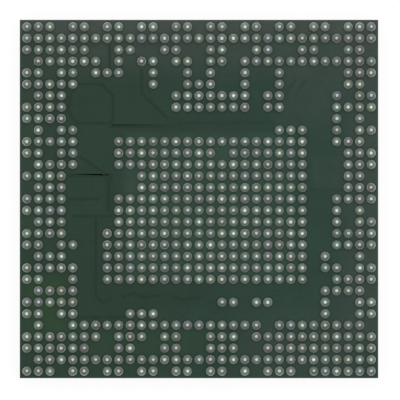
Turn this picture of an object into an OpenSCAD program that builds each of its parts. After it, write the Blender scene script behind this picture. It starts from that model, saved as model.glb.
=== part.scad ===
// Flip-chip ball grid array package, lying on the back of its die with its balls up.
// The origin is the centre of the die's back, and +Z points to the balls.
// Ball A1 is at the corner with the lowest x and the highest y.

/* [Ball grid] */
// Distance between the centres of neighbouring balls
ball_pitch = 0.80; // [0.78:0.01:1.27]
// Diameter of a solder ball
ball_d = 0.64; // [0.56:0.01:0.72]
// Diameter of the solder mask's opening over a land
opening_d = 0.48; // [0.38:0.01:0.52]
// How far the solder mask laps onto a land, all round
land_lap = 0.06; // [0.03:0.01:0.08]
// Distance from the outermost ball centres to the laminate's edge
edge_margin = 0.50; // [0.45:0.05:1.5]

/* [Laminate] */
// Thickness of the glass-epoxy core
core_t = 0.80; // [0.4:0.1:1.2]
// Thickness of the build-up dielectric on each face of the core
buildup_t = 0.04; // [0.02:0.01:0.08]
// Thickness of each copper layer
copper_t = 0.02; // [0.01:0.005:0.04]
// Thickness of the solder mask over the copper
mask_t = 0.02; // [0.01:0.005:0.04]
// How far the copper stays back from the laminate's edge
copper_setback = 0.15; // [0.1:0.01:0.3]
// Clearance round each land and pad in a copper layer
copper_gap = 0.04; // [0.03:0.01:0.05]
// Width of the gaps that split the ball side's copper into areas
split_w = 0.12; // [0.06:0.01:0.2]

/* [Vias] */
// Diameter of a plated hole through the core
barrel_d = 0.25; // [0.15:0.01:0.4]
// Thickness of the copper plated on the hole's wall
plating_t = 0.03; // [0.02:0.005:0.05]
// Distance between the centres of neighbouring plated holes
barrel_pitch = 1.60; // [1:0.1:3]
// Distance from the outermost plated holes to the copper's edge, at least
barrel_margin = 0.60; // [0.3:0.1:2]
// Diameter of a via through the build-up
microvia_d = 0.08; // [0.05:0.01:0.1]

/* [Die] */
// Width of the die, along X
die_w = 10.4; // [8:0.1:11]
// Length of the die, along Y
die_l = 9.6; // [8:0.1:11]
// Thickness of the die
die_t = 0.78; // [0.7:0.01:0.9]
// Height of the gap between the die and the solder mask
die_gap = 0.07; // [0.05:0.01:0.1]
// Distance between the centres of neighbouring bumps
bump_pitch = 0.50; // [0.45:0.05:0.8]
// Diameter of a bump
bump_d = 0.14; // [0.1:0.01:0.16]
// Diameter of the solder mask's opening over a bump pad
bump_opening_d = 0.10; // [0.08:0.01:0.12]
// How far the solder mask laps onto a bump pad, all round
bump_lap = 0.03; // [0.02:0.005:0.04]
// Distance from the outermost bump centres to the die's edge, at least
bump_margin = 0.30; // [0.2:0.05:0.6]
// Rings of signal bumps round the bumps that carry power
signal_rings = 2; // [1:1:4]
// How far the underfill spreads out from the die
fillet_w = 0.90; // [0.5:0.05:1.2]
// How high the underfill climbs the die's sides
fillet_h = 0.50; // [0.3:0.05:0.6]
// How far the fillet's face bends in from a straight slope
fillet_bend = 0.08; // [0.02:0.01:0.08]

/* [Capacitors] */
// Length of a capacitor over its metal ends
cap_l = 1.00; // [0.8:0.05:1.2]
// Width of a capacitor
cap_w = 0.50; // [0.4:0.05:0.7]
// Height of a capacitor
cap_h = 0.40; // [0.3:0.05:0.5]
// Length of each metal end
cap_end = 0.25; // [0.15:0.01:0.3]
// Thickness of the metal on each end
cap_metal_t = 0.02; // [0.01:0.005:0.03]
// Thickness of the solder under a metal end
cap_solder_t = 0.04; // [0.03:0.01:0.06]
// How far the solder reaches past the metal end
cap_toe = 0.12; // [0.08:0.01:0.16]
// How far the solder mask laps onto a capacitor pad, all round
cap_lap = 0.05; // [0.03:0.01:0.08]
// Capacitors in the row along each side of the die
caps_per_side = 3; // [1:1:5]
// Distance between the centres of neighbouring capacitors in a row
cap_spacing = 2.40; // [1.8:0.1:2.6]
// Distance from the die's side to the centre line of a row
cap_row_offset = 2.60; // [2.2:0.1:3]

/* [Corner mark] */
// Length of the two straight sides of the copper triangle at corner A1
mark_w = 0.90; // [0.5:0.1:1.2]
// Distance from the triangle to the laminate's edges
mark_margin = 0.50; // [0.4:0.1:1]

/* [Hidden] */
$fn = 48;

// Ball sites, one string a row from A to AL: o is a ball, and . is an empty site.
BALL_MAP = [
    ["a",  "ooo.oo.oo.oo.oo.oo.oo.oo.oo.ooo"],
    ["b",  "ooooooooooooooooooooooooooooooo"],
    ["c",  "oooooo..oo..oo..oo..oo..oo..oo."],
    ["d",  ".oooooo.o.oo.oo.oo.oooooooooooo"],
    ["e",  "oo.oo.ooo..o..o.o..o..o.....ooo"],
    ["f",  "ooooo......o..ooo..o..o.....oo."],
    ["g",  ".ooo.........ooooooo.oo....o.oo"],
    ["h",  "oooo.........ooooooo.oo....oooo"],
    ["j",  "oooo.......................o.o."],
    ["k",  ".o.oo.................ooo..o.oo"],
    ["l",  "ooooo...ooooooooooooooooo..ooo."],
    ["m",  "oo.oo...ooooooooo.ooooooo...ooo"],
    ["n",  ".oooo...ooooooooooooooooo...ooo"],
    ["p",  "oooo......ooooooooooooooo...oo."],
    ["r",  ".ooo......ooooooooooooooo...ooo"],
    ["t",  "oooo....ooooooooooooooooo..oooo"],
    ["u",  "oooo....ooooooooooooooooo..o.o."],
    ["v",  ".ooo....ooooooooooooooooo..o.oo"],
    ["w",  "oooo...oooooooooooooooooo..oooo"],
    ["y",  "oo.oo..oooooooooooooooooo..oooo"],
    ["aa", ".ooo...oooooooooooooooooo.o..o."],
    ["ab", "ooooo..oooooooooooooooooo.oo.oo"],
    ["ac", "oo..o..oooooooooooooooooo..oooo"],
    ["ad", ".oooo.....................oooo."],
    ["ae", "ooooo............oo.oo....o..oo"],
    ["af", "oo.oo....ooo..............o..oo"],
    ["ag", ".o..ooooooooooooooooo.oooooooo."],
    ["ah", "ooooooo.ooo.oo..ooo.ooooooooooo"],
    ["aj", "oooooo..oo..oo..ooo..oooooooooo"],
    ["ak", ".oooooooooooooooooooooooooooooo"],
    ["al", "ooo.oo.oo.oo.oo.oo.o.ooo.oooooo"],
];
ROWS = len(BALL_MAP);
COLUMNS = len(BALL_MAP[0][1]);

// The block of balls that carry power, in columns and rows of the ball grid. They sit on the
// copper sheet itself, and every other ball has a land of its own.
POWER_COLUMNS = [8, 25];
POWER_ROWS = [10, 23];

// Routes of the gaps that split the ball side's copper, as [column, row] in the ball grid,
// where [1, 1] is A1. Each route is one gap.
SPLIT_ROUTES = [
    // closed loop in the upper left field
    [[5.4, 6], [7.5, 6], [8.5, 7], [8.5, 9], [8.2, 9.4], [5.3, 9.4], [4.6, 8.4], [4.8, 6.9],
     [5.4, 6]],
    // between the upper fields and the power block
    [[8.2, 2.6], [8.2, 4.5]],
    [[11, 4.8], [11, 6.8], [13.2, 8.9]],
    [[8.3, 9.7], [13.7, 9.7], [14.2, 9.4], [22.4, 9.4]],
    [[23.6, 6.9], [24.3, 5.7]],
    [[24.5, 6.9], [25.2, 5.7]],
    // left field
    [[5.7, 12.4], [7.7, 13.7]],
    [[4.7, 14], [8.4, 14], [8.1, 14.5], [8.1, 16.8]],
    [[4.8, 16], [7.3, 16]],
    [[5.1, 17.5], [8.3, 17.5]],
    [[7, 17.55], [7, 24.4], [7.6, 25], [8.2, 24.7]],
    // below the power block
    [[9.4, 24.5], [10.4, 24.3], [11.4, 24.6], [12.6, 24.4]],
    [[13.8, 24.6], [14.8, 24.8], [16, 24.6]],
    [[5.5, 26.3], [9.4, 26.3]],
    [[22.5, 24], [25.2, 24]],
    // right field
    [[25.8, 15.2], [28.4, 15.2]],
];

// Outline of the laminate, and of the copper in it.
body_w = (COLUMNS - 1) * ball_pitch + 2 * edge_margin;
body_l = (ROWS - 1) * ball_pitch + 2 * edge_margin;
copper_w = body_w - 2 * copper_setback;
copper_l = body_l - 2 * copper_setback;

// Heights of the layers' faces, from the die's back up.
die_face_z = die_t;
die_mask_z = die_face_z + die_gap;
pads_z = die_mask_z + mask_t;
die_buildup_z = pads_z + copper_t;
die_plane_z = die_buildup_z + buildup_t;
core_z = die_plane_z + copper_t;
ball_plane_z = core_z + core_t;
ball_buildup_z = ball_plane_z + copper_t;
lands_z = ball_buildup_z + buildup_t;
ball_film_z = lands_z + copper_t;
ball_face_z = ball_film_z + mask_t;

// A ball is a sphere cut flat where it meets the solder mask's opening.
ball_centre_z = ball_face_z + sqrt(pow(ball_d / 2, 2) - pow(opening_d / 2, 2));
land_d = opening_d + 2 * land_lap;

// Grids of plated holes and of bumps, as [columns, rows].
barrel_grid = grid_within([copper_w, copper_l], barrel_margin, barrel_pitch);
bump_grid = grid_within([die_w, die_l], bump_margin, bump_pitch);
bump_pad_d = bump_opening_d + 2 * bump_lap;

// A capacitor hangs from its pads by its solder.
cap_top_z = die_mask_z - cap_solder_t;
cap_pad_l = cap_end + cap_toe + 2 * cap_lap;
cap_pad_w = cap_w + 2 * cap_lap;

function ball_row_node(row) = str("ball_row_", BALL_MAP[row - 1][0]);
function has_ball(column, row) = BALL_MAP[row - 1][1][column - 1] == "o";
function carries_power(column, row) =
    column >= POWER_COLUMNS[0] && column <= POWER_COLUMNS[1]
    && row >= POWER_ROWS[0] && row <= POWER_ROWS[1];
function site(column, row) = [
    (column - (COLUMNS + 1) / 2) * ball_pitch,
    ((ROWS + 1) / 2 - row) * ball_pitch,
];
function grid_within(size, margin, pitch) = [
    for (length = size) floor((length - 2 * margin) / pitch) + 1
];

// ---- places ----

module at_each_ball() {
    for (row = [1 : ROWS], column = [1 : COLUMNS])
        if (has_ball(column, row)) translate(site(column, row)) children();
}

module at_each_signal_ball() {
    for (row = [1 : ROWS], column = [1 : COLUMNS])
        if (has_ball(column, row) && !carries_power(column, row))
            translate(site(column, row)) children();
}

module at_grid(grid, pitch, rings = 0) {
    for (column = [1 : grid[0]], row = [1 : grid[1]]) {
        ring = min(column, row, grid[0] + 1 - column, grid[1] + 1 - row);
        if (rings == 0 || ring <= rings)
            translate([column - (grid[0] + 1) / 2, row - (grid[1] + 1) / 2] * pitch) children();
    }
}

module at_each_barrel() {
    at_grid(barrel_grid, barrel_pitch) children();
}

module at_each_bump() {
    at_grid(bump_grid, bump_pitch) children();
}

module at_each_signal_bump() {
    at_grid(bump_grid, bump_pitch, signal_rings) children();
}

// Rows of capacitors stand along the die's four sides, each capacitor with its length along X
// of its own place.
module at_each_capacitor() {
    for (side = [0 : 3])
        rotate(90 * side)
            for (i = [0 : caps_per_side - 1])
                translate([
                    (i - (caps_per_side - 1) / 2) * cap_spacing,
                    (side % 2 == 0 ? die_l : die_w) / 2 + cap_row_offset,
                ])
                    children();
}

module at_each_capacitor_end() {
    at_each_capacitor()
        for (end = [0, 1]) mirror([end, 0]) translate([cap_l / 2, 0]) children();
}

// ---- flat shapes ----

module laminate_outline() {
    square([body_w, body_l], center = true);
}

module copper_outline() {
    square([copper_w, copper_l], center = true);
}

// A gap of even width along a route. Each stretch runs on past its ends by half its width, so
// that the corners close.
module gap_along(route) {
    for (i = [0 : len(route) - 2]) {
        from = site(route[i][0], route[i][1]);
        along = site(route[i + 1][0], route[i + 1][1]) - from;
        translate(from) rotate(atan2(along[1], along[0]))
            translate([-split_w / 2, -split_w / 2]) square([norm(along) + split_w, split_w]);
    }
}

module ball_side_copper_shape() {
    difference() {
        copper_outline();
        at_each_signal_ball() circle(d = land_d + 2 * copper_gap);
        for (route = SPLIT_ROUTES) gap_along(route);
    }
}

// The pad reaches from under the capacitor's metal end to past its solder's toe.
module capacitor_pad_shape(clearance = 0) {
    translate([-cap_end - cap_lap - clearance, -cap_pad_w / 2 - clearance])
        square([cap_pad_l + 2 * clearance, cap_pad_w + 2 * clearance]);
}

module corner_mark_shape() {
    translate([-body_w / 2 + mark_margin, body_l / 2 - mark_margin])
        polygon([[0, 0], [0, -mark_w], [mark_w, 0]]);
}

// A square round the mark that the copper stays out of.
module corner_mark_clearance() {
    translate([-body_w / 2 + mark_margin, body_l / 2 - mark_margin - mark_w])
        translate([-copper_gap, -copper_gap]) square(mark_w + 2 * copper_gap);
}

module die_side_copper_shape() {
    difference() {
        copper_outline();
        at_each_signal_bump() circle(d = bump_pad_d + 2 * copper_gap);
        at_each_capacitor_end() capacitor_pad_shape(copper_gap);
        corner_mark_clearance();
    }
}

// ---- ball side ----

// Profile of a ball with the neck that fills the mask's opening down to the land.
module ball_profile() {
    intersection() {
        translate([0, ball_centre_z]) circle(d = ball_d);
        translate([0, ball_face_z]) square(ball_d * 2);
    }
    translate([0, ball_film_z]) square([opening_d / 2, ball_face_z - ball_film_z]);
}

module ball_row(row) {
    color([0.62, 0.65, 0.63])
        for (column = [1 : COLUMNS])
            if (has_ball(column, row))
                translate(site(column, row)) rotate_extrude() ball_profile();
}

// The film lies over the copper and fills the gaps in it.
module ball_side_mask() {
    color([0.16, 0.26, 0.21]) {
        translate([0, 0, lands_z]) linear_extrude(copper_t) difference() {
            laminate_outline();
            ball_side_copper_shape();
            at_each_signal_ball() circle(d = land_d);
        }
        translate([0, 0, ball_film_z]) linear_extrude(mask_t) difference() {
            laminate_outline();
            at_each_ball() circle(d = opening_d);
        }
    }
}

module ball_lands() {
    color([0.72, 0.45, 0.25])
        translate([0, 0, lands_z]) at_each_signal_ball() cylinder(d = land_d, h = copper_t);
}

module ball_side_copper() {
    color([0.75, 0.48, 0.28])
        translate([0, 0, lands_z]) linear_extrude(copper_t) ball_side_copper_shape();
}

module ball_side_microvias() {
    color([0.78, 0.50, 0.30])
        translate([0, 0, ball_buildup_z])
            at_each_ball() cylinder(d = microvia_d, h = buildup_t);
}

// Dielectric over an inner copper sheet, drawn from the core's face up. It closes round the
// sheet's edges, and its children are the outlines of the vias through it.
module buildup_layer() {
    linear_extrude(copper_t) difference() {
        laminate_outline();
        copper_outline();
    }
    translate([0, 0, copper_t]) linear_extrude(buildup_t) difference() {
        laminate_outline();
        children();
    }
}

module ball_side_buildup() {
    color([0.55, 0.50, 0.36])
        translate([0, 0, ball_plane_z]) buildup_layer() at_each_ball() circle(d = microvia_d);
}

module ball_side_plane() {
    color([0.74, 0.47, 0.27])
        translate([0, 0, ball_plane_z]) linear_extrude(copper_t) copper_outline();
}

// ---- core ----

module core() {
    color([0.78, 0.72, 0.52]) translate([0, 0, core_z]) linear_extrude(core_t) difference() {
        laminate_outline();
        at_each_barrel() circle(d = barrel_d);
    }
}

module via_barrels() {
    color([0.76, 0.49, 0.29])
        translate([0, 0, core_z]) at_each_barrel() linear_extrude(core_t) difference() {
            circle(d = barrel_d);
            circle(d = barrel_d - 2 * plating_t);
        }
}

module via_plugs() {
    color([0.85, 0.80, 0.66])
        translate([0, 0, core_z])
            at_each_barrel() cylinder(d = barrel_d - 2 * plating_t, h = core_t);
}

// ---- die side ----

module die_side_plane() {
    color([0.74, 0.47, 0.27])
        translate([0, 0, die_plane_z]) linear_extrude(copper_t) copper_outline();
}

module die_side_buildup() {
    color([0.55, 0.50, 0.36])
        translate([0, 0, core_z]) mirror([0, 0, 1])
            buildup_layer() at_each_bump() circle(d = microvia_d);
}

module die_side_microvias() {
    color([0.78, 0.50, 0.30])
        translate([0, 0, die_buildup_z]) at_each_bump() cylinder(d = microvia_d, h = buildup_t);
}

module die_side_copper() {
    color([0.75, 0.48, 0.28])
        translate([0, 0, pads_z]) linear_extrude(copper_t) die_side_copper_shape();
}

module bump_pads() {
    color([0.72, 0.45, 0.25])
        translate([0, 0, pads_z]) at_each_signal_bump() cylinder(d = bump_pad_d, h = copper_t);
}

module capacitor_pads() {
    color([0.72, 0.45, 0.25])
        translate([0, 0, pads_z])
            at_each_capacitor_end() linear_extrude(copper_t) capacitor_pad_shape();
}

module corner_mark() {
    color([0.83, 0.66, 0.30])
        translate([0, 0, pads_z]) linear_extrude(copper_t) corner_mark_shape();
}

module die_side_mask() {
    color([0.14, 0.25, 0.19]) {
        translate([0, 0, pads_z]) linear_extrude(copper_t) difference() {
            laminate_outline();
            die_side_copper_shape();
            at_each_signal_bump() circle(d = bump_pad_d);
            at_each_capacitor_end() capacitor_pad_shape();
            corner_mark_shape();
        }
        translate([0, 0, die_mask_z]) linear_extrude(mask_t) difference() {
            laminate_outline();
            at_each_bump() circle(d = bump_opening_d);
            at_each_capacitor_end() capacitor_pad_shape(-cap_lap);
            corner_mark_shape();
        }
    }
}

// A bump is a disc of solder between the die and the mask, with a neck up to its pad.
module bumps() {
    color([0.66, 0.67, 0.68]) at_each_bump() {
        translate([0, 0, die_face_z]) cylinder(d = bump_d, h = die_gap);
        translate([0, 0, die_mask_z]) cylinder(d = bump_opening_d, h = mask_t);
    }
}

module die() {
    color([0.30, 0.31, 0.34])
        translate([0, 0, die_t / 2]) cube([die_w, die_l, die_t], center = true);
}

// Section of the underfill's fillet, drawn outward from the die's side. Its foot is on the
// mask, and its face is a hollow arc from there to where it meets the die's side.
module fillet_profile() {
    foot_z = die_mask_z;
    top_z = die_face_z - fillet_h;
    slope = [fillet_w, foot_z - top_z];
    arc_r = (pow(norm(slope) / 2, 2) + pow(fillet_bend, 2)) / (2 * fillet_bend);
    outward = [slope[1], -slope[0]] / norm(slope);
    centre = [fillet_w, foot_z + top_z] / 2 + outward * (arc_r - fillet_bend);
    difference() {
        polygon([[0, foot_z], [0, top_z], [fillet_w, foot_z]]);
        translate(centre) circle(r = arc_r, $fn = 180);
    }
}

module underfill() {
    color([0.12, 0.13, 0.14]) {
        translate([0, 0, die_face_z]) linear_extrude(die_gap) difference() {
            square([die_w, die_l], center = true);
            at_each_bump() circle(d = bump_d);
        }
        for (side = [0 : 3]) {
            along = side % 2 == 0 ? die_w : die_l;
            out = (side % 2 == 0 ? die_l : die_w) / 2;
            rotate(90 * side) {
                translate([-along / 2, out, 0])
                    rotate([90, 0, 90]) linear_extrude(along) fillet_profile();
                translate([along / 2, out, 0]) rotate_extrude(angle = 90) fillet_profile();
            }
        }
    }
}

// ---- capacitors ----

// The body is the full length, less the metal on its ends, and is slimmer than the ends by
// the metal's thickness all round.
module capacitor_bodies() {
    body = [cap_l - 2 * cap_metal_t, cap_w - 2 * cap_metal_t, cap_h - 2 * cap_metal_t];
    color([0.55, 0.44, 0.34])
        translate([0, 0, cap_top_z - cap_h / 2]) at_each_capacitor() cube(body, center = true);
}

module capacitor_ends() {
    pocket = [cap_end, cap_w - 2 * cap_metal_t, cap_h - 2 * cap_metal_t];
    color([0.74, 0.74, 0.73])
        translate([0, 0, cap_top_z - cap_h / 2])
            at_each_capacitor_end() difference() {
                translate([-cap_end / 2, 0, 0])
                    cube([cap_end, cap_w, cap_h], center = true);
                translate([-cap_end / 2 - cap_metal_t, 0, 0]) cube(pocket, center = true);
            }
}

// Solder under each metal end, with a hollow fillet up the end's face.
module capacitor_solder() {
    rise = cap_h / 2;
    color([0.68, 0.68, 0.66]) at_each_capacitor_end() {
        translate([-cap_end, -cap_w / 2, cap_top_z]) cube([cap_end + cap_toe, cap_w, cap_solder_t]);
        translate([-cap_end, -cap_w / 2, die_mask_z]) cube([cap_end + cap_toe, cap_w, mask_t]);
        translate([0, cap_w / 2, cap_top_z]) rotate([90, 0, 0]) linear_extrude(cap_w) difference() {
            translate([0, -rise]) square([cap_toe, rise]);
            translate([cap_toe, -rise]) scale([1, rise / cap_toe]) circle(r = cap_toe);
        }
    }
}

// ---- nodes ----

for (row = [1 : ROWS])
    ball_row(row);
ball_side_mask();
ball_lands();
ball_side_copper();
ball_side_microvias();
ball_side_buildup();
ball_side_plane();
core();
via_barrels();
via_plugs();
die_side_plane();
die_side_buildup();
die_side_microvias();
die_side_copper();
bump_pads();
capacitor_pads();
corner_mark();
die_side_mask();
bumps();
die();
underfill();
capacitor_bodies();
capacitor_ends();
capacitor_solder();
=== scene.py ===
"""Dresses a ball grid array chip, lying on its die with its solder balls up.

Every length is in metres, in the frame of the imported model. Patterns are worked out in
millimetres, from the Object coordinates of the piece that carries them.
"""

import math

import bmesh
import bpy
from bpy.props import FloatProperty, FloatVectorProperty, IntProperty, PointerProperty
from mathutils import Matrix, Vector


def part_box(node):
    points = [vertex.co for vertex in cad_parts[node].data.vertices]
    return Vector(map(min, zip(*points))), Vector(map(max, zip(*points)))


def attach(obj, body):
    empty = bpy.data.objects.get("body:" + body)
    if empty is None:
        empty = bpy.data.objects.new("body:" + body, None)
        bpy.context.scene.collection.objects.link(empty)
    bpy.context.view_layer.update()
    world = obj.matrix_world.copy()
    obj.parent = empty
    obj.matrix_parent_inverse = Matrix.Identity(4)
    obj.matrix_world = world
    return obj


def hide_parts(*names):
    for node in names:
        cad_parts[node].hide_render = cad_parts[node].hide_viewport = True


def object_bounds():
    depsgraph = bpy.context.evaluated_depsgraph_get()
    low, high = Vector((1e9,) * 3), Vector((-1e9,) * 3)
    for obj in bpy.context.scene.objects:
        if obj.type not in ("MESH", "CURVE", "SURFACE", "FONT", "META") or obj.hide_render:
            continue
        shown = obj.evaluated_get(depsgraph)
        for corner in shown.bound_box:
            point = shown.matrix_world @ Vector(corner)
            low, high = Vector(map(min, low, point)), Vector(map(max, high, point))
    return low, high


bl_info = {
    "name": "Ball Grid Array Chip",
    "version": (1, 0, 0),
    "blender": (4, 5, 0),
    "location": "3D View > Sidebar > Chip",
    "description": "Gives a ball grid array chip its solder, solder mask, laminate and silicon",
    "category": "Object",
}

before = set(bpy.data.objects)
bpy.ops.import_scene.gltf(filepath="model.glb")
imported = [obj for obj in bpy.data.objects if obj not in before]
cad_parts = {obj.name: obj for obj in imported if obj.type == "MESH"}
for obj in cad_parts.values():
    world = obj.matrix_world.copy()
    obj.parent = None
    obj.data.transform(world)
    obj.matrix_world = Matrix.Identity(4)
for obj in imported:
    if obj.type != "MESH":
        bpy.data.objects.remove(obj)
cad_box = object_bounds()

MM = 0.001
MERGE_DISTANCE = 1e-7
SENSOR_WIDTH = 36.0

# A ball's looks change with height over its centre, given in radii: where each look starts and
# is complete, or its middle and how far it reaches. Besides the crown's smoother metal, these
# looks
# are painted light: a paler ring is a painted reflection of the neighbours' highlights, a darker
# ring is painted shade, and a pale lower side is painted light on the limb.
CROWN_BAND = (0.62, 0.92)
PAINTED_LIMB_LIGHT_BAND = (0.60, -0.10)
PAINTED_REFLECTION_RING = (0.48, 0.16)
PAINTED_SHADE_RING = (0.76, 0.14)
FAINTEST_PAINTED_RING = 0.12
ROUGHNESS_SPREAD = 0.1
GRAIN_HEIGHT = 0.0055  # in millimetres

# Just beyond the ring round a land, where a split's shoulder may start
LAND_REACH = 0.36 * MM
# One plus the cosine of the sharpest turn at which a corner of an outline moves out in full
SHARPEST_CORNER = 0.2
# Facets that meet at less than this are one face, and edges sharper than this are bevelled
FLAT_ANGLE = math.radians(1)
SHARP_ANGLE = math.radians(30)
BUNDLE_PITCH = 0.9  # distance in millimetres between the core's glass bundles

# Direction to the brightest part of the surround, and the heights between which the light from
# below takes over
BRIGHT_SIDE = (-0.4, 0.85, 0.3)
UNDERLIGHT_BAND = (-0.05, -0.6)

BALL_ROWS = sorted(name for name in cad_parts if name.startswith("ball_row_"))


def colour(red, green, blue):
    """The linear colour of an 8-bit display colour."""
    def linear(level):
        share = level / 255
        return share / 12.92 if share <= 0.04045 else ((share + 0.055) / 1.055) ** 2.4

    return linear(red), linear(green), linear(blue)


def opaque(linear_colour):
    """A colour with the alpha of 1 that a node's socket wants."""
    return (*linear_colour, 1.0)


def ball_pitch():
    """Distance between neighbouring balls: the step from the first row to the second."""
    first, second = (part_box(name) for name in ("ball_row_a", "ball_row_b"))
    return abs((first[0].y + first[1].y) - (second[0].y + second[1].y)) / 2


# ---- sizes and colours that a user would change ----


class BallSettings(bpy.types.PropertyGroup):
    """The solder balls."""

    crown: FloatVectorProperty(
        name="Crown", description="Colour of the bright solder on a ball's crown",
        subtype="COLOR", size=3, min=0, max=1, default=colour(137, 143, 137),
    )
    shoulder: FloatVectorProperty(
        name="Shoulder", description="Colour of the frosted solder on a ball's shoulder",
        subtype="COLOR", size=3, min=0, max=1, default=colour(112, 125, 115),
    )
    # Painted light: the ball's lower side is painted much paler than the solder, so its limb reads
    # brighter and it throws more light on the mask beside it.
    painted_limb_light: FloatVectorProperty(
        name="Skirt", description="Colour of the paler solder round a ball's middle",
        subtype="COLOR", size=3, min=0, max=1, default=colour(196, 208, 200),
    )
    crown_metal: FloatProperty(
        name="Crown metal", description="How metallic the crown is",
        subtype="FACTOR", min=0, max=1, default=0.8,
    )
    shoulder_metal: FloatProperty(
        name="Shoulder metal", description="How metallic the frosted shoulder is",
        subtype="FACTOR", min=0, max=1, default=0.25,
    )
    crown_roughness: FloatProperty(
        name="Crown roughness", description="Roughness of the smoothest crown",
        subtype="FACTOR", min=0, max=1, default=0.18,
    )
    shoulder_roughness: FloatProperty(
        name="Shoulder roughness", description="Roughness of the frosted shoulder",
        subtype="FACTOR", min=0, max=1, default=0.45,
    )
    # Painted reflection: how much paler the painted ring round a crown may be on the most ringed
    # balls.
    ring: FloatProperty(
        name="Ring", description="How much paler the ring round a crown may be",
        min=0, max=2, default=0.9,
    )
    # Painted highlight: how much brighter the crown's colour is painted on the balls that glint
    # most.
    painted_glint: FloatProperty(
        name="Sparkle", description="How much brighter the brightest crown is",
        min=0, max=1, default=0.36,
    )
    tint: FloatProperty(
        name="Tint", description="How far the balls differ in tint",
        subtype="FACTOR", min=0, max=1, default=0.05,
    )
    lean: FloatProperty(
        name="Lean", description="How far a ball's highlight may sit off its crown",
        min=0, max=0.5, default=0.10,
    )


class MaskSettings(bpy.types.PropertyGroup):
    """The solder mask on both faces."""

    green: FloatVectorProperty(
        name="Green", description="Colour of the mask, on the left of the ball side",
        subtype="COLOR", size=3, min=0, max=1, default=colour(19, 46, 31),
    )
    blue_green: FloatVectorProperty(
        name="Blue-green", description="Colour of the mask, on the right of the ball side",
        subtype="COLOR", size=3, min=0, max=1, default=colour(20, 50, 40),
    )
    # Painted sheen: the grey that the film's green is mixed towards in broad fields, standing in
    # for reflected light.
    painted_sheen: FloatVectorProperty(
        name="Veil", description="Colour of the mask where it has greyed",
        subtype="COLOR", size=3, min=0, max=1, default=colour(51, 60, 54),
    )
    # Partly painted light: lighter between the power block's balls to lift the shade they cast,
    # and partly a greener hue of the film.
    pale: FloatVectorProperty(
        name="Pale", description="Colour of the mask between the power block's balls",
        subtype="COLOR", size=3, min=0, max=1, default=colour(42, 67, 54),
    )
    deep: FloatVectorProperty(
        name="Deep", description="Colour of the mask where it is thick or lies over a gap",
        subtype="COLOR", size=3, min=0, max=1, default=colour(6, 35, 18),
    )
    leaf: FloatVectorProperty(
        name="Leaf", description="Colour of the mask where it has yellowed",
        subtype="COLOR", size=3, min=0, max=1, default=colour(26, 58, 24),
    )
    gap_depth: FloatProperty(
        name="Gap depth", description="How deep the green is over a gap",
        subtype="FACTOR", min=0, max=1, default=0.8,
    )
    dip: FloatProperty(
        name="Dip", description="How far the film dips over a gap in the copper",
        unit="LENGTH", subtype="DISTANCE", min=0, max=0.01 * MM, default=0.002 * MM,
    )
    shoulder: FloatProperty(
        name="Shoulder", description="Width of the slope on each side of a dip",
        unit="LENGTH", subtype="DISTANCE", min=0, max=0.1 * MM, default=0.09 * MM,
    )
    gloss: FloatProperty(
        name="Gloss", description="Specular level of the film",
        subtype="FACTOR", min=0, max=1, default=0.14,
    )
    roughness: FloatProperty(
        name="Roughness", description="Roughness of the film",
        subtype="FACTOR", min=0, max=1, default=0.42,
    )


class LaminateSettings(bpy.types.PropertyGroup):
    """The core and the films built up on it."""

    resin: FloatVectorProperty(
        name="Resin", description="Colour of the core's resin", subtype="COLOR",
        size=3, min=0, max=1, default=colour(136, 128, 84),
    )
    glass: FloatVectorProperty(
        name="Glass", description="Colour of the cut glass bundles", subtype="COLOR",
        size=3, min=0, max=1, default=colour(188, 184, 150),
    )
    film: FloatVectorProperty(
        name="Build-up film", description="Colour of the build-up films", subtype="COLOR",
        size=3, min=0, max=1, default=colour(116, 92, 56),
    )
    plug: FloatVectorProperty(
        name="Plug resin", description="Colour of the resin in the plated holes",
        subtype="COLOR", size=3, min=0, max=1, default=colour(150, 146, 128),
    )
    plies: IntProperty(
        name="Plies", description="Glass cloths in the core", min=1, max=12, default=5,
    )


class MetalSettings(bpy.types.PropertyGroup):
    """The metals other than the balls."""

    copper: FloatVectorProperty(
        name="Copper", description="Colour of the etched copper", subtype="COLOR",
        size=3, min=0, max=1, default=colour(190, 116, 78),
    )
    plated_copper: FloatVectorProperty(
        name="Plated copper", description="Colour of the plated copper", subtype="COLOR",
        size=3, min=0, max=1, default=colour(206, 132, 92),
    )
    solder: FloatVectorProperty(
        name="Solder", description="Colour of the bumps' and capacitors' solder",
        subtype="COLOR", size=3, min=0, max=1, default=colour(176, 178, 176),
    )
    tin: FloatVectorProperty(
        name="Tin", description="Colour of the capacitors' tinned ends", subtype="COLOR",
        size=3, min=0, max=1, default=colour(192, 192, 186),
    )


class DieSettings(bpy.types.PropertyGroup):
    """The die and the resin round it."""

    silicon: FloatVectorProperty(
        name="Silicon", description="Colour of the ground silicon", subtype="COLOR",
        size=3, min=0, max=1, default=colour(112, 116, 124),
    )
    chamfer: FloatProperty(
        name="Chamfer", description="Width of the die's worn edges",
        unit="LENGTH", subtype="DISTANCE", min=0, max=0.05 * MM, default=0.015 * MM,
    )
    underfill: FloatVectorProperty(
        name="Underfill", description="Colour of the underfill", subtype="COLOR",
        size=3, min=0, max=1, default=colour(38, 38, 42),
    )


class CapacitorSettings(bpy.types.PropertyGroup):
    """The capacitors round the die."""

    ceramic: FloatVectorProperty(
        name="Ceramic", description="Colour of the ceramic", subtype="COLOR",
        size=3, min=0, max=1, default=colour(128, 100, 72),
    )
    rounding: FloatProperty(
        name="Rounding", description="Radius of a capacitor's edges",
        unit="LENGTH", subtype="DISTANCE", min=0, max=0.06 * MM, default=0.03 * MM,
    )


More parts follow.
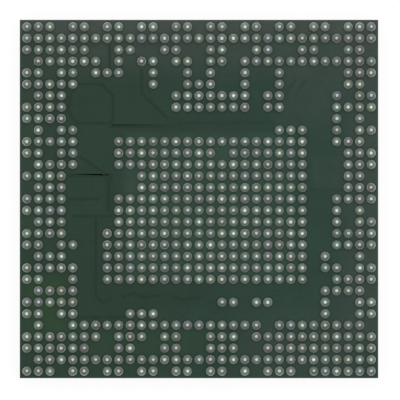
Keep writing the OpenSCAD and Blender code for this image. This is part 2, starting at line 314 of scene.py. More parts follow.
class StageSettings(bpy.types.PropertyGroup):
    """The floor, the light and the camera."""

    floor_reach: FloatProperty(
        name="Floor reach", description="Distance from the chip to the end of the floor",
        unit="LENGTH", subtype="DISTANCE", min=0.2, max=5, default=1.5,
    )
    wall_height: FloatProperty(
        name="Wall height", description="Height of the low wall round the floor",
        unit="LENGTH", subtype="DISTANCE", min=0, max=2, default=0.3,
    )
    floor_gap: FloatProperty(
        name="Floor gap", description="How far the floor lies under the die's back",
        unit="LENGTH", subtype="DISTANCE", min=0, max=0.1 * MM, default=0.005 * MM,
    )
    glow: FloatProperty(
        name="Glow", description="Share of the floor's white that its shadow can't dim",
        subtype="FACTOR", min=0, max=1, default=0.9,
    )
    lamp_height: FloatProperty(
        name="Lamp height", description="Height of the round lamp over the chip",
        unit="LENGTH", subtype="DISTANCE", min=0.2, max=2, default=0.6,
    )
    lamp_offset: FloatVectorProperty(
        name="Lamp offset", description="How far the lamp hangs to the side of the chip",
        unit="LENGTH", subtype="TRANSLATION", size=2, default=(0.07, 0.04),
    )
    lamp_radius: FloatProperty(
        name="Lamp radius", description="Radius of the round lamp",
        unit="LENGTH", subtype="DISTANCE", min=0.01, max=1, default=0.45,
    )
    lamp_level: FloatProperty(
        name="Lamp level", description="Radiance of the round lamp",
        min=0, max=20, default=2.2,
    )
    underlight: FloatProperty(
        name="Underlight", description="Grey level of the light from below, for views from there",
        min=0, max=2, default=0.9,
    )
    surround: FloatVectorProperty(
        name="Surround", description="Grey levels of the surround's dim and bright sides",
        size=2, min=0, max=1, default=(0.05, 0.62),
    )
    view_width: FloatProperty(
        name="View width", description="Width that the camera sees at the mask's face",
        unit="LENGTH", subtype="DISTANCE", min=0.01, max=0.1, default=27.905 * MM,
    )
    lens: FloatProperty(
        name="Lens", description="Focal length of the lens", unit="CAMERA",
        min=20, max=1000, default=400,
    )
    aim: FloatVectorProperty(
        name="Aim", description="Point on the mask that the camera looks at",
        unit="LENGTH", subtype="TRANSLATION", size=2, default=(0.07 * MM, -0.07 * MM),
    )


# ---- node trees ----


class NodeBuilder:
    """Adds nodes to one tree. An input takes a value, or the output socket that feeds it."""

    def __init__(self, tree):
        self.tree = tree

    def feed(self, socket, value):
        if isinstance(value, bpy.types.NodeSocket):
            self.tree.links.new(value, socket)
        else:
            socket.default_value = value

    def add(self, kind, inputs=None, **settings):
        node = self.tree.nodes.new(kind)
        for key, value in settings.items():
            setattr(node, key, value)
        for key, value in (inputs or {}).items():
            self.feed(node.inputs[key], value)
        return node

    def math(self, operation, *values, clamp=False):
        node = self.tree.nodes.new("ShaderNodeMath")
        node.operation = operation
        node.use_clamp = clamp
        for socket, value in zip(node.inputs, values):
            self.feed(socket, value)
        return node.outputs[0]

    def vector(self, operation, *values):
        node = self.tree.nodes.new("ShaderNodeVectorMath")
        node.operation = operation
        for socket, value in zip(node.inputs, values):
            self.feed(socket, value)
        return node.outputs[0]

    def mix(self, factor, first, second, blend="MIX"):
        """Mixes two colours."""
        node = self.tree.nodes.new("ShaderNodeMix")
        node.data_type = "RGBA"
        node.blend_type = blend
        sockets = {s.identifier: s for s in node.inputs}
        self.feed(sockets["Factor_Float"], factor)
        self.feed(sockets["A_Color"], first)
        self.feed(sockets["B_Color"], second)
        return next(s for s in node.outputs if s.identifier == "Result_Color")

    def spread(self, value, low, high):
        """Maps 0 to 1 onto low to high."""
        return self.add(
            "ShaderNodeMapRange", {"Value": value, "To Min": low, "To Max": high},
        ).outputs["Result"]

    def step(self, value, start, end):
        """Rises smoothly from 0 at start to 1 at end."""
        return self.add(
            "ShaderNodeMapRange", {"Value": value, "From Min": start, "From Max": end},
            interpolation_type="SMOOTHSTEP",
        ).outputs["Result"]

    def peak(self, value, middle, reach):
        """1 where the value is middle, and 0 from reach away on."""
        away = self.math("ABSOLUTE", self.math("SUBTRACT", value, middle))
        return self.step(away, reach, 0.0)

    def scaled(self, vector, factor):
        """A colour or vector times a number."""
        node = self.add("ShaderNodeVectorMath", {0: vector, "Scale": factor}, operation="SCALE")
        return node.outputs[0]

    def millimetres(self):
        """Position on the piece, in millimetres."""
        place = self.add("ShaderNodeTexCoord").outputs["Object"]
        return self.vector("MULTIPLY", place, (1 / MM, 1 / MM, 1 / MM))

    def noise(self, place, size, detail=2.0):
        """Noise whose patches are about size millimetres across."""
        return self.add(
            "ShaderNodeTexNoise", {"Vector": place, "Scale": 1 / size, "Detail": detail},
        ).outputs["Fac"]

    def bump(self, height, depth, normal=None):
        """The normal of a relief that is depth millimetres deep."""
        inputs = {"Height": height, "Distance": depth * MM, "Strength": 1.0}
        if normal is not None:
            inputs["Normal"] = normal
        return self.add("ShaderNodeBump", inputs).outputs["Normal"]

    def effect(self, name, inputs):
        """Places a shared effect, with its own values."""
        return self.add("ShaderNodeGroup", inputs, node_tree=bpy.data.node_groups[name])


class Finish(NodeBuilder):
    """One material: its Principled shader, and the nodes that feed it."""

    def __init__(self, name, shader_values):
        self.material = bpy.data.materials.new(name)
        self.material.use_nodes = True
        super().__init__(self.material.node_tree)
        self.shader = self.tree.nodes["Principled BSDF"]
        for socket, value in shader_values.items():
            self.set(socket, value)

    def set(self, socket, value):
        self.feed(self.shader.inputs[socket], value)


def begin_group(name, inputs, outputs):
    """A new shader node group with these named inputs, their defaults, and outputs."""
    tree = bpy.data.node_groups.new(name, "ShaderNodeTree")
    for label, kind, default in inputs:
        socket = tree.interface.new_socket(label, in_out="INPUT", socket_type=kind)
        socket.default_value = default
    for label, kind in outputs:
        tree.interface.new_socket(label, in_out="OUTPUT", socket_type=kind)
    build = NodeBuilder(tree)
    return build, build.add("NodeGroupInput").outputs, build.add("NodeGroupOutput").inputs


def cloudy_group():
    """Two colours in soft clouds, and how much of the second there is."""
    build, given, out = begin_group(
        "Cloudy Colour",
        [("First", "NodeSocketColor", (0.5, 0.5, 0.5, 1)),
         ("Second", "NodeSocketColor", (0.4, 0.4, 0.4, 1)),
         ("Size", "NodeSocketFloat", 1.0),
         ("Contrast", "NodeSocketFloat", 2.0)],
        [("Colour", "NodeSocketColor"), ("Amount", "NodeSocketFloat")],
    )
    place = build.millimetres()
    clouds = build.add("ShaderNodeTexNoise", {
        "Vector": place,
        "Scale": build.math("DIVIDE", 1.0, given["Size"]),
        "Detail": 4.0,
        "Roughness": 0.6,
    }).outputs["Fac"]
    centred = build.math("SUBTRACT", clouds, 0.5)
    amount = build.math("MULTIPLY_ADD", centred, given["Contrast"], 0.5, clamp=True)
    build.feed(out["Colour"], build.mix(amount, given["First"], given["Second"]))
    build.feed(out["Amount"], amount)


def grain_group():
    """The height of a fine grain on broader swells."""
    build, given, out = begin_group(
        "Grain",
        [("Grain Size", "NodeSocketFloat", 0.02),
         ("Swell Size", "NodeSocketFloat", 0.2),
         ("Swell Share", "NodeSocketFloat", 0.7)],
        [("Height", "NodeSocketFloat")],
    )
    place = build.millimetres()
    fine = build.add("ShaderNodeTexNoise", {
        "Vector": place, "Scale": build.math("DIVIDE", 1.0, given["Grain Size"]), "Detail": 1.0,
    }).outputs["Fac"]
    broad = build.add("ShaderNodeTexNoise", {
        "Vector": place, "Scale": build.math("DIVIDE", 1.0, given["Swell Size"]), "Detail": 2.0,
    }).outputs["Fac"]
    share = given["Swell Share"]
    rest = build.math("SUBTRACT", 1.0, share)
    height = build.math("MULTIPLY_ADD", broad, share, build.math("MULTIPLY", fine, rest))
    build.feed(out["Height"], height)


def patch_group():
    """A soft-edged rectangle on the XY plane: 1 inside and 0 outside."""
    build, given, out = begin_group(
        "Soft Patch",
        [("Centre", "NodeSocketVector", (0, 0, 0)),
         ("Half Size", "NodeSocketVector", (1, 1, 0)),
         ("Softness", "NodeSocketFloat", 0.5)],
        [("Mask", "NodeSocketFloat")],
    )
    from_centre = build.vector("SUBTRACT", build.millimetres(), given["Centre"])
    inside = build.vector("SUBTRACT", given["Half Size"], build.vector("ABSOLUTE", from_centre))
    sides = build.add("ShaderNodeSeparateXYZ", {"Vector": inside})
    shares = [
        build.math("ADD", build.math("DIVIDE", sides.outputs[axis], given["Softness"]), 0.5,
                   clamp=True)
        for axis in ("X", "Y")
    ]
    build.feed(out["Mask"], build.math("MULTIPLY", *shares))


# ---- finishes ----


def solder_ball_finish(settings):
    """Reflowed solder: a bright crown, a frosted shoulder, and small differences by ball. A ring
    of painted reflection, a ring of painted shade, a painted highlight on some crowns and painted
    light on the lower side are laid into the colour by height.
    """
    finish = Finish("solder_ball_metal", {})
    pitch = ball_pitch() / MM
    low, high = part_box(BALL_ROWS[0])
    radius = (high.y - low.y) / 2 / MM
    centre = high.z / MM - radius
    place = finish.millimetres()
    shifted = finish.vector("ADD", place, (pitch / 2, pitch / 2, 0))
    site = finish.vector("SNAP", shifted, (pitch, pitch, 1000.0))
    random = finish.add("ShaderNodeTexWhiteNoise", {"Vector": site}, noise_dimensions="3D")
    chance = finish.add("ShaderNodeSeparateColor", {"Color": random.outputs["Color"]}).outputs
    level = finish.add("ShaderNodeSeparateXYZ", {"Vector": place}).outputs["Z"]
    height = finish.math("DIVIDE", finish.math("SUBTRACT", level, centre), radius)
    crown = finish.step(height, *CROWN_BAND)
    # The pale lower side is painted light on the limb; the shoulder's colour above it is the
    # solder's own.
    side = finish.mix(
        finish.step(height, *PAINTED_LIMB_LIGHT_BAND), opaque(settings.shoulder), opaque(settings.painted_limb_light),
    )
    plain = finish.mix(crown, side, opaque(settings.crown))
    clouds = finish.effect("Cloudy Colour", {
        "First": finish.scaled(plain, 0.88), "Second": finish.scaled(plain, 1.12),
        "Size": 0.25, "Contrast": 2.2,
    })
    # Painted light by height: a paler ring, a painted reflection, less half of a darker ring,
    # painted shade.
    rings = finish.math(
        "SUBTRACT", finish.peak(height, *PAINTED_REFLECTION_RING),
        finish.math("MULTIPLY", finish.peak(height, *PAINTED_SHADE_RING), 0.5),
    )
    # few balls have a strong painted reflection ring or a painted highlight on the crown; the mean
    # crown keeps its colour
    painted_ring_share = finish.math("MULTIPLY", finish.math("POWER", chance["Red"], 3.0), settings.ring)
    painted_ring_share = finish.math("ADD", painted_ring_share, FAINTEST_PAINTED_RING)
    # Painted highlight: a few crowns are painted brighter, and all crowns a little darker so that
    # the mean stays.
    painted_glint = finish.math("MULTIPLY", finish.math("POWER", chance["Green"], 2.0), crown)
    tone = finish.math("ADD", 1.0, finish.math("MULTIPLY", rings, painted_ring_share))
    tone = finish.math("ADD", tone, finish.math("MULTIPLY", painted_glint, settings.painted_glint))
    tone = finish.math("SUBTRACT", tone, finish.math("MULTIPLY", crown, settings.painted_glint / 3))
    toned = finish.scaled(clouds.outputs["Colour"], tone)
    finish.set("Base Color", finish.mix(settings.tint, toned, random.outputs["Color"], "OVERLAY"))
    finish.set("Metallic", finish.spread(crown, settings.shoulder_metal, settings.crown_metal))
    uneven = finish.math("MULTIPLY", random.outputs["Value"], ROUGHNESS_SPREAD)
    rough = finish.spread(crown, settings.shoulder_roughness, settings.crown_roughness)
    finish.set("Roughness", finish.math("ADD", rough, uneven))
    lean = finish.vector("SUBTRACT", random.outputs["Color"], (0.5, 0.5, 0.5))
    own = finish.add("ShaderNodeNewGeometry").outputs["Normal"]
    leaning = finish.vector("ADD", own, finish.scaled(lean, settings.lean))
    grain = finish.effect("Grain", {
        "Grain Size": 0.025, "Swell Size": 0.14, "Swell Share": 0.85,
    }).outputs["Height"]
    finish.set("Normal", finish.bump(grain, GRAIN_HEIGHT, finish.vector("NORMALIZE", leaning)))
    return finish.material


# Broad differences in the ball side's green: the field's name, its tone, its centre and half
# size in millimetres, how soft its edge is, and how much of the tone it takes. The grey fields are
# a painted sheen of light, and the power block's pale field is painted light between its balls
# with a greener hue; the deep and leaf fields are the film's own colour.
MASK_FIELDS = [
    # Painted light that lifts the shade between the power block's balls, with a greener hue.
    ("power block", "pale", (0.8, -0.5), (6.0, 5.0), 0.6, 0.5),
    ("top edge", "painted_sheen", (0.0, 12.2), (13.0, 0.8), 1.0, 0.9),
    ("rows under the top edge", "painted_sheen", (1.0, 10.4), (12.0, 1.4), 2.0, 0.5),
    ("right edge", "painted_sheen", (12.0, 1.0), (1.8, 11.0), 1.8, 0.5),
    ("upper right field", "painted_sheen", (7.8, 7.4), (2.0, 2.0), 2.0, 0.35),
    ("pale panel", "painted_sheen", (8.9, 1.9), (1.0, 1.1), 0.4, 0.2),
    ("left edge", "painted_sheen", (-12.0, 4.0), (1.4, 7.0), 2.0, 0.2),
    ("lower right corner", "painted_sheen", (8.0, -10.5), (4.5, 2.0), 3.0, 0.35),
    ("band over the power block", "deep", (1.4, 5.1), (3.8, 0.6), 0.5, 0.2),
    ("band under the power block", "deep", (-2.6, -6.9), (4.6, 0.9), 1.0, 0.3),
    ("strip left of the power block", "deep", (-6.3, 0.5), (0.3, 1.2), 0.3, 0.4),
    ("left field", "deep", (-7.4, -5.0), (1.2, 3.0), 1.0, 0.15),
    ("lower left field", "leaf", (-10.6, -7.4), (1.4, 2.0), 1.2, 0.6),
    ("under the lower rows", "leaf", (-3.6, -10.0), (5.0, 0.8), 1.2, 0.3),
]

# Splits that hardly show through the mask: centre and half size in millimetres, and how much of
# the green's depth goes.
FAINT_SPLITS = [
    ((1.8, 5.2), (4.4, 0.4), 0.7),
    ((6.3, -6.4), (1.4, 0.5), 0.8),
    ((8.9, 0.6), (1.3, 0.5), 0.6),
    ((6.6, 7.6), (1.0, 1.0), 0.5),
]


def ball_side_mask_finish(settings):
    """Dark green solder mask whose shade tells of the copper under it, with a painted sheen in
    broad fields and painted light between the power block's balls.
    """
    finish = Finish("ball_side_solder_mask", {"Specular IOR Level": settings.gloss})
    across = finish.add("ShaderNodeSeparateXYZ", {"Vector": finish.millimetres()}).outputs["X"]
    half_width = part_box("ball_side_mask")[1].x / MM
    green = finish.mix(
        finish.step(across, -half_width, half_width),
        opaque(settings.green), opaque(settings.blue_green),
    )
    for _, tone, centre, half_size, softness, amount in MASK_FIELDS:
        patch = finish.effect("Soft Patch", {
            "Centre": (*centre, 0), "Half Size": (*half_size, 0), "Softness": softness,
        }).outputs["Mask"]
        green = finish.mix(
            finish.math("MULTIPLY", patch, amount), green, opaque(getattr(settings, tone)),
        )
    mottled = finish.effect("Cloudy Colour", {
        "First": finish.scaled(green, 0.88), "Second": finish.scaled(green, 1.12),
        "Size": 1.2, "Contrast": 2.0,
    }).outputs["Colour"]
    speckled = finish.effect("Cloudy Colour", {
        "First": finish.scaled(mottled, 0.93), "Second": finish.scaled(mottled, 1.07),
        "Size": 0.18, "Contrast": 2.0,
    }).outputs["Colour"]
    gap = finish.add("ShaderNodeAttribute", attribute_name="gap").outputs["Fac"]
    depth = settings.gap_depth
    for centre, half_size, amount in FAINT_SPLITS:
        faint = finish.effect("Soft Patch", {
            "Centre": (*centre, 0), "Half Size": (*half_size, 0), "Softness": 0.8,
        }).outputs["Mask"]
        depth = finish.math("MULTIPLY", depth, finish.math(
            "SUBTRACT", 1.0, finish.math("MULTIPLY", faint, amount),
        ))
    finish.set("Base Color", finish.mix(
        finish.math("MULTIPLY", gap, depth), speckled, opaque(settings.deep),
    ))
    grain = finish.effect("Grain", {
        "Grain Size": 0.03, "Swell Size": 0.35, "Swell Share": 0.9,
    }).outputs["Height"]
    finish.set("Roughness", finish.spread(
        grain, settings.roughness - 0.06, settings.roughness + 0.10,
    ))
    finish.set("Normal", finish.bump(grain, 0.012))
    return finish.material


def die_side_mask_finish(settings):
    """The same mask where the die is mounted."""
    finish = Finish("die_side_solder_mask", {"Specular IOR Level": settings.gloss})
    finish.set("Base Color", finish.effect("Cloudy Colour", {
        "First": opaque(settings.green), "Second": opaque(settings.blue_green),
        "Size": 2.2, "Contrast": 1.4,
    }).outputs["Colour"])
    grain = finish.effect("Grain", {
        "Grain Size": 0.03, "Swell Size": 0.4, "Swell Share": 0.9,
    }).outputs["Height"]
    finish.set("Roughness", finish.spread(grain, settings.roughness - 0.08, settings.roughness))
    finish.set("Normal", finish.bump(grain, 0.010))
    return finish.material


def core_finish(settings):
    """Glass cloth in resin, as it shows where the core was cut: plies of pale bundles."""
    finish = Finish("glass_epoxy_core", {"Specular IOR Level": 0.35})
    low, high = (corner.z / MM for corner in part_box("core"))
    ply = (high - low) / settings.plies
    place = finish.add("ShaderNodeSeparateXYZ", {"Vector": finish.millimetres()})
    along = finish.math("ADD", place.outputs["X"], place.outputs["Y"])
    bundle = finish.math("SINE", finish.math("MULTIPLY", along, 2 * math.pi / BUNDLE_PITCH))
    lifted = finish.math("MULTIPLY_ADD", bundle, 0.22 * ply, place.outputs["Z"])
    phase = finish.math("MULTIPLY", finish.math("SUBTRACT", lifted, low), 2 * math.pi / ply)
    stripes = finish.math("MULTIPLY_ADD", finish.math("COSINE", phase), -0.5, 0.5)
    ragged = finish.noise(finish.millimetres(), 0.05, 3.0)
    glass = finish.math("MULTIPLY", finish.math("POWER", stripes, 0.8), ragged, clamp=True)
    finish.set("Base Color", finish.mix(
        finish.math("MULTIPLY", glass, 1.5, clamp=True),
        opaque(settings.resin), opaque(settings.glass),
    ))
    finish.set("Roughness", finish.spread(ragged, 0.45, 0.75))
    finish.set("Normal", finish.bump(ragged, 0.012))
    return finish.material


def resin_finish(name, resin, size, roughness, depth):
    """A cured resin: clouds of one colour, and a fine grain."""
    finish = Finish(name, {"Specular IOR Level": 0.4})
    clouds = finish.effect("Cloudy Colour", {
        "First": opaque(resin), "Second": opaque([c * 0.72 for c in resin]),
        "Size": size, "Contrast": 2.0,
    })
    grain = finish.effect("Grain", {
        "Grain Size": size / 12, "Swell Size": size, "Swell Share": 0.6,
    }).outputs["Height"]
    finish.set("Base Color", clouds.outputs["Colour"])
    finish.set("Roughness", finish.spread(grain, roughness - 0.1, roughness + 0.1))
    finish.set("Normal", finish.bump(grain, depth))
    return finish.material


def metal_finish(name, metal, dulled, size, roughness, depth):
    """A plain metal, dulled in clouds, with a fine grain."""
    finish = Finish(name, {"Metallic": 1.0})
    clouds = finish.effect("Cloudy Colour", {
        "First": opaque(metal), "Second": opaque([c * dulled for c in metal]),
        "Size": size, "Contrast": 2.4,
    })
    grain = finish.effect("Grain", {
        "Grain Size": size / 10, "Swell Size": size, "Swell Share": 0.5,
    }).outputs["Height"]
    finish.set("Base Color", clouds.outputs["Colour"])
    finish.set("Roughness", finish.spread(clouds.outputs["Amount"], roughness, roughness + 0.15))
    finish.set("Normal", finish.bump(grain, depth))
    return finish.material


def silicon_finish(settings):
    """Silicon with the fine arcs that grinding leaves."""
    finish = Finish("ground_silicon", {"Metallic": 0.9})
    place = finish.add("ShaderNodeMapping", {
        "Vector": finish.millimetres(), "Location": (26.0, 18.0, 0.0),
    })
    rings = finish.add("ShaderNodeTexWave", {
        "Vector": place.outputs["Vector"], "Scale": 3.2, "Distortion": 1.2, "Detail": 3.0,
        "Detail Scale": 1.5,
    }, wave_type="RINGS", rings_direction="Z").outputs["Fac"]
    clouds = finish.effect("Cloudy Colour", {
        "First": opaque(settings.silicon),
        "Second": opaque([c * 0.82 for c in settings.silicon]),
        "Size": 3.0, "Contrast": 1.5,
    })
    finish.set("Base Color", clouds.outputs["Colour"])
    finish.set("Roughness", finish.spread(rings, 0.22, 0.32))
    finish.set("Normal", finish.bump(rings, 0.0006))
    return finish.material


# ---- pieces ----


def dress(material, *node_names):
    """Gives CAD nodes their material, with their meshes as they are."""
    for name in node_names:
        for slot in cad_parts[name].material_slots:
            slot.material = material


def merged_copy(node_name):
    """A bmesh of a CAD node, its loose triangles merged where they meet."""
    bm = bmesh.new()
    bm.from_mesh(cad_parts[node_name].data)
    bmesh.ops.remove_doubles(bm, verts=bm.verts, dist=MERGE_DISTANCE)
    bm.normal_update()
    return bm


def new_piece(name, bm, material, node_name):
    """Makes the bmesh a piece that stands for a CAD node."""
    if any(len(edge.link_faces) != 2 for edge in bm.edges):
        raise RuntimeError(f"{name} isn't closed")
    mesh = bpy.data.meshes.new(name)
    bm.to_mesh(mesh)
    bm.free()
    mesh.materials.append(material)
    piece = bpy.data.objects.new(name, mesh)
    bpy.context.scene.collection.objects.link(piece)
    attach(piece, "root")
    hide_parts(node_name)
    return piece


def islands(faces):
    """Groups faces that share edges."""
    left = set(faces)
    while left:
        island = []
        waiting = [left.pop()]
        while waiting:
            face = waiting.pop()
            island.append(face)
            near = {f for e in face.edges for f in e.link_faces} & left
            left -= near
            waiting.extend(near)
        yield island


def reach(faces):
    """How far a group of faces reaches along X or Y, whichever is more."""
    corners = [v.co for f in faces for v in f.verts]
    return max(max(c[axis] for c in corners) - min(c[axis] for c in corners) for axis in (0, 1))


def site(place, pitch):
    """The ball site that a place is nearest to, counted from the middle."""
    return round(place.x / pitch), round(place.y / pitch)


def outward(edges, inside):
    """Where the corner between two edges of an outline goes when the outline grows by one."""
    normals = []
    for edge in edges:
        along = (edge.verts[1].co - edge.verts[0].co).normalized()
        normal = Vector((along.y, -along.x, 0))
        if normal.dot(inside[edge] - edge.verts[0].co) > 0:
            normal.negate()
        normals.append(normal)
    first, second = normals
    return (first + second) / max(1 + first.dot(second), SHARPEST_CORNER)


def mark_splits(bm, pitch):
    """Marks the underside's faces that follow a split in the copper, and returns their layer.

    The other faces that lie as deep are small rings round the lands, and the wide rim.
    """
    low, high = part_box("ball_side_mask")
    is_split = bm.faces.layers.int.new("split")
    below = [
        f for f in bm.faces
        if f.normal.z < -0.5 and f.calc_center_median().z < low.z + MERGE_DISTANCE
    ]
    for island in islands(below):
        if pitch < reach(island) < high.x - low.x - pitch:
            for face in island:
                face[is_split] = 1
    return is_split


def turn_over(bm):
    """Puts the film's relief on top, where its rings, rim and splits are then levelled."""
    low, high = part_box("ball_side_mask")
    middle = (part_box("ball_side_copper")[1].z + high.z) / 2
    bmesh.ops.scale(bm, vec=(1, 1, -1), space=Matrix.Translation((0, 0, -middle)), verts=bm.verts)
    bmesh.ops.reverse_faces(bm, faces=bm.faces)
    for vertex in bm.verts:
        vertex.co.z = min(vertex.co.z, high.z)
        at_edge = max(abs(vertex.co.x), abs(vertex.co.y)) > high.x - MERGE_DISTANCE
        if at_edge and vertex.co.z < middle:
            vertex.co.z = low.z
    bmesh.ops.remove_doubles(bm, verts=bm.verts, dist=MERGE_DISTANCE)


def add_shoulders(bm, splits, width, pitch):
    """Grows each split's outline by a strip, except where it meets an opening's ring."""
    outline = [e for f in splits for e in f.edges if e.is_boundary]
    opened = {
        site(v.co, pitch) for e in set(bm.edges) - set(outline) if e.is_boundary for v in e.verts
    }
    inside = {e: e.link_faces[0].calc_center_median() for e in outline}
    meeting = {}
    for edge in outline:
        for vertex in edge.verts:
            meeting.setdefault(vertex, []).append(edge)
    steps = {v.co.copy().freeze(): outward(pair, inside) for v, pair in meeting.items()}
    for item in bmesh.ops.extrude_edge_only(bm, edges=outline)["geom"]:
        if isinstance(item, bmesh.types.BMVert):
            spot = site(item.co, pitch)
            away = math.dist(item.co.xy, (spot[0] * pitch, spot[1] * pitch))
            if spot not in opened or away > LAND_REACH:
                item.co += width * steps[item.co.copy().freeze()]


def relief_mask(settings):
    """The ball side's mask with its relief outside: the film dips where the copper is parted.

    The film's underside already follows the copper, so the copy is turned over. Its level top is
    filled anew round each split, which becomes a dip with a soft shoulder.
    """
    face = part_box("ball_side_mask")[1].z
    pitch = ball_pitch()
    bm = merged_copy("ball_side_mask")
    is_split = mark_splits(bm, pitch)
    gap = bm.verts.layers.float.new("gap")
    turn_over(bm)
    splits = [f for f in bm.faces if f[is_split]]
    top = [
        f for f in bm.faces
        if not f[is_split] and min(v.co.z for v in f.verts) > face - MERGE_DISTANCE
    ]
    bmesh.ops.delete(bm, geom=top, context="FACES")
    add_shoulders(bm, splits, settings.shoulder, pitch)
    for vertex in {v for f in splits for v in f.verts}:
        vertex.co.z = face - settings.dip
        vertex[gap] = 1.0
    rims = [e for e in bm.edges if e.is_boundary]
    bmesh.ops.triangle_fill(bm, use_beauty=True, edges=rims, normal=(0, 0, 1))
    bmesh.ops.recalc_face_normals(bm, faces=bm.faces)
    bm.faces.layers.int.remove(is_split)
    return bm


def bevelled(node_name, width):
    """A copy of a CAD node with its sharp edges rounded."""
    bm = merged_copy(node_name)
    bmesh.ops.dissolve_limit(
        bm, angle_limit=FLAT_ANGLE, use_dissolve_boundaries=False,
        verts=bm.verts, edges=bm.edges, delimit=set(),
    )
    sharp = [e for e in bm.edges if e.calc_face_angle(0) > SHARP_ANGLE and e.is_convex]
    bmesh.ops.bevel(
        bm, geom=sharp, offset=width, offset_type="OFFSET", segments=3, profile=0.5,
        affect="EDGES", material=-1, clamp_overlap=True,
    )
    return bm


# ---- operators ----


class CHIP_OT_effects(bpy.types.Operator):
    """Makes the node groups that several finishes share"""

    bl_idname = "chip.effects"
    bl_label = "Shared Effects"

    def execute(self, context):
        cloudy_group()
        grain_group()
        patch_group()
        return {"FINISHED"}


class CHIP_OT_solder_balls(bpy.types.Operator):
    """Gives the rows of solder balls their metal"""

    bl_idname = "chip.solder_balls"
    bl_label = "Solder Balls"

    def execute(self, context):
        dress(solder_ball_finish(context.scene.chip_balls), *BALL_ROWS)
        return {"FINISHED"}


class CHIP_OT_solder_mask(bpy.types.Operator):
    """Makes the ball side's film and paints the die side's"""

    bl_idname = "chip.solder_mask"
    bl_label = "Solder Mask"

    def execute(self, context):
        settings = context.scene.chip_mask
        new_piece(
            "ball_side_mask_film", relief_mask(settings), ball_side_mask_finish(settings),
            "ball_side_mask",
        )
        dress(die_side_mask_finish(settings), "die_side_mask")
        return {"FINISHED"}


class CHIP_OT_laminate(bpy.types.Operator):
    """Gives the core, its films and its plugged holes their finish"""

    bl_idname = "chip.laminate"
    bl_label = "Laminate"

    def execute(self, context):
        settings = context.scene.chip_laminate
        dress(core_finish(settings), "core")
        dress(
            resin_finish("buildup_film", settings.film, 0.3, 0.5, 0.004),
            "ball_side_buildup", "die_side_buildup",
        )
        dress(resin_finish("plug_resin", settings.plug, 0.1, 0.6, 0.003), "via_plugs")
        return {"FINISHED"}


class CHIP_OT_copper(bpy.types.Operator):
    """Gives the copper its etched and plated finishes"""

    bl_idname = "chip.copper"
    bl_label = "Copper"

    def execute(self, context):
        settings = context.scene.chip_metal
        dress(
            metal_finish("etched_copper", settings.copper, 0.7, 0.4, 0.32, 0.003),
            "ball_lands", "ball_side_copper", "ball_side_plane", "die_side_plane",
            "die_side_copper", "bump_pads", "capacitor_pads", "corner_mark",
        )
        dress(
            metal_finish("plated_copper", settings.plated_copper, 0.8, 0.1, 0.26, 0.002),
            "ball_side_microvias", "die_side_microvias", "via_barrels",
        )
        return {"FINISHED"}


class CHIP_OT_die(bpy.types.Operator):
    """Makes the die, and gives its bumps and underfill their finish"""

    bl_idname = "chip.die"
    bl_label = "Die"

    def execute(self, context):
        settings = context.scene.chip_die
        metal = context.scene.chip_metal
        new_piece(
            "die_block", bevelled("die", settings.chamfer), silicon_finish(settings),
            "die",
        )
        dress(resin_finish("underfill_resin", settings.underfill, 0.25, 0.38, 0.006), "underfill")
        dress(metal_finish("bump_solder", metal.solder, 0.8, 0.06, 0.3, 0.002), "bumps")
        return {"FINISHED"}


class CHIP_OT_capacitors(bpy.types.Operator):
    """Makes the capacitors round the die"""

    bl_idname = "chip.capacitors"
    bl_label = "Capacitors"

    def execute(self, context):
        settings = context.scene.chip_capacitors
        metal = context.scene.chip_metal
        new_piece(
            "capacitor_ceramics", bevelled("capacitor_bodies", settings.rounding),
            resin_finish("capacitor_ceramic", settings.ceramic, 0.12, 0.5, 0.003),
            "capacitor_bodies",
        )
        new_piece(
            "capacitor_caps", bevelled("capacitor_ends", settings.rounding),
            metal_finish("matt_tin", metal.tin, 0.8, 0.08, 0.42, 0.003),
            "capacitor_ends",
        )
        dress(
            metal_finish("capacitor_solder", metal.solder, 0.85, 0.1, 0.24, 0.002),
            "capacitor_solder",
        )
        return {"FINISHED"}


class CHIP_OT_stage(bpy.types.Operator):
    """Lays the floor, hangs the lamp and sets up the camera"""

    bl_idname = "chip.stage"
    bl_label = "Stage"

    def execute(self, context):
        settings = context.scene.chip_stage
        context.scene.view_settings.view_transform = "Standard"
        make_floor(settings)
        make_lights(settings)
        make_camera(settings)
        return {"FINISHED"}


# ---- stage ----


def floor_finish(settings):
    """White that shows as white itself, keeps a soft shadow, and is clear from below."""
    material = bpy.data.materials.new("white_floor")
    material.use_nodes = True
    material.node_tree.nodes.clear()
    build = NodeBuilder(material.node_tree)
    path = build.add("ShaderNodeLightPath").outputs
    seen = build.math("ADD", path["Is Camera Ray"], path["Is Glossy Ray"])
    seen = build.math("ADD", seen, path["Is Transmission Ray"], clamp=True)
    white = build.add("ShaderNodeBsdfDiffuse", {"Color": (0.95, 0.95, 0.95, 1)}).outputs[0]
    glow = build.add("ShaderNodeEmission", {"Color": (1, 1, 1, 1), "Strength": 1.0}).outputs[0]
    share = build.math("MULTIPLY", seen, settings.glow)
    face = build.add("ShaderNodeMixShader", {0: share, 1: white, 2: glow}).outputs[0]
    clear = build.add("ShaderNodeBsdfTransparent").outputs[0]
    back = build.add("ShaderNodeNewGeometry").outputs["Backfacing"]
    sided = build.add("ShaderNodeMixShader", {0: back, 1: face, 2: clear}).outputs[0]
    build.add("ShaderNodeOutputMaterial", {"Surface": sided})
    return material


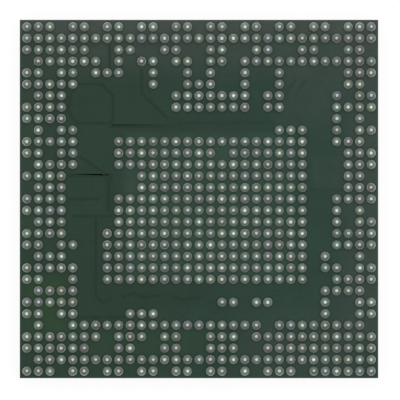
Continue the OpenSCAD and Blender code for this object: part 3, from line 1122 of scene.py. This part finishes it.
def make_floor(settings):
    """A round floor just under the die's back, with a low wall far out."""
    bm = bmesh.new()
    rim = bmesh.ops.create_circle(bm, cap_ends=True, radius=settings.floor_reach, segments=96)
    bmesh.ops.translate(bm, vec=(0, 0, -settings.floor_gap), verts=rim["verts"])
    edges = [e for e in bm.edges if e.is_boundary]
    wall = bmesh.ops.extrude_edge_only(bm, edges=edges)["geom"]
    raised = [g for g in wall if isinstance(g, bmesh.types.BMVert)]
    bmesh.ops.translate(bm, vec=(0, 0, settings.wall_height), verts=raised)
    bmesh.ops.recalc_face_normals(bm, faces=bm.faces)
    base = next(f for f in bm.faces if len(f.verts) > 4)
    if base.normal.z < 0:
        bmesh.ops.reverse_faces(bm, faces=bm.faces)
    mesh = bpy.data.meshes.new("floor")
    bm.to_mesh(mesh)
    bm.free()
    mesh.materials.append(floor_finish(settings))
    floor = bpy.data.objects.new("floor", mesh)
    bpy.context.scene.collection.objects.link(floor)


def make_lights(settings):
    """One round lamp over the chip, in a grey surround: brighter to the upper left, even below."""
    scene = bpy.context.scene
    lamp = bpy.data.lights.new("overhead_lamp", "AREA")
    lamp.shape = "DISK"
    lamp.size = 2 * settings.lamp_radius
    lamp.energy = settings.lamp_level * math.pi * math.pi * settings.lamp_radius ** 2
    holder = bpy.data.objects.new("overhead_lamp", lamp)
    holder.location = (*settings.lamp_offset, cad_box[1].z + settings.lamp_height)
    scene.collection.objects.link(holder)
    world = bpy.data.worlds.new("grey_surround")
    world.use_nodes = True
    scene.world = world
    build = NodeBuilder(world.node_tree)
    direction = build.add("ShaderNodeTexCoord").outputs["Generated"]
    facing = build.add(
        "ShaderNodeVectorMath", {0: direction, 1: Vector(BRIGHT_SIDE).normalized()},
        operation="DOT_PRODUCT",
    ).outputs["Value"]
    dim, bright = settings.surround
    grey = build.add("ShaderNodeMapRange", {
        "Value": facing, "From Min": -1.0, "From Max": 1.0, "To Min": dim, "To Max": bright,
    }).outputs["Result"]
    upward = build.add("ShaderNodeSeparateXYZ", {"Vector": direction}).outputs["Z"]
    below = build.step(upward, *UNDERLIGHT_BAND)
    level = build.spread(below, grey, settings.underlight)
    build.feed(world.node_tree.nodes["Background"].inputs["Color"], level)


def make_camera(settings):
    """Looks straight down from far enough that the lens sees the view's width."""
    lens = bpy.data.cameras.new("camera")
    lens.type = "PERSP"
    lens.lens = settings.lens
    lens.sensor_width = SENSOR_WIDTH
    distance = settings.view_width / SENSOR_WIDTH * settings.lens
    lens.clip_start = distance / 10
    lens.clip_end = distance * 100
    camera = bpy.data.objects.new("camera", lens)
    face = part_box("ball_side_mask")[1].z
    camera.location = Vector((*settings.aim, face + distance))
    bpy.context.scene.collection.objects.link(camera)
    bpy.context.scene.camera = camera


class CHIP_PT_panel(bpy.types.Panel):
    """The chip's sizes, colours and steps"""

    bl_idname = "CHIP_PT_panel"
    bl_label = "Ball Grid Array Chip"
    bl_space_type = "VIEW_3D"
    bl_region_type = "UI"
    bl_category = "Chip"

    def draw(self, context):
        for operator, group in PANEL_ROWS:
            column = self.layout.column(align=True)
            column.operator(operator.bl_idname)
            if group:
                settings = getattr(context.scene, group)
                for name in settings.bl_rna.properties.keys():
                    if name not in ("rna_type", "name"):
                        column.prop(settings, name)


SETTINGS = {
    "chip_balls": BallSettings,
    "chip_mask": MaskSettings,
    "chip_laminate": LaminateSettings,
    "chip_metal": MetalSettings,
    "chip_die": DieSettings,
    "chip_capacitors": CapacitorSettings,
    "chip_stage": StageSettings,
}
PANEL_ROWS = [
    (CHIP_OT_effects, None),
    (CHIP_OT_solder_balls, "chip_balls"),
    (CHIP_OT_solder_mask, "chip_mask"),
    (CHIP_OT_laminate, "chip_laminate"),
    (CHIP_OT_copper, "chip_metal"),
    (CHIP_OT_die, "chip_die"),
    (CHIP_OT_capacitors, "chip_capacitors"),
    (CHIP_OT_stage, "chip_stage"),
]
CLASSES = [*SETTINGS.values(), *(operator for operator, _ in PANEL_ROWS), CHIP_PT_panel]


def register():
    for cls in CLASSES:
        bpy.utils.register_class(cls)
    for name, group in SETTINGS.items():
        setattr(bpy.types.Scene, name, PointerProperty(type=group))


def unregister():
    for name in SETTINGS:
        delattr(bpy.types.Scene, name)
    for cls in reversed(CLASSES):
        bpy.utils.unregister_class(cls)


def main():
    register()
    bpy.ops.chip.effects()
    bpy.ops.chip.solder_balls()
    bpy.ops.chip.solder_mask()
    bpy.ops.chip.laminate()
    bpy.ops.chip.copper()
    bpy.ops.chip.die()
    bpy.ops.chip.capacitors()
    bpy.ops.chip.stage()


if __name__ == "__main__":
    main()
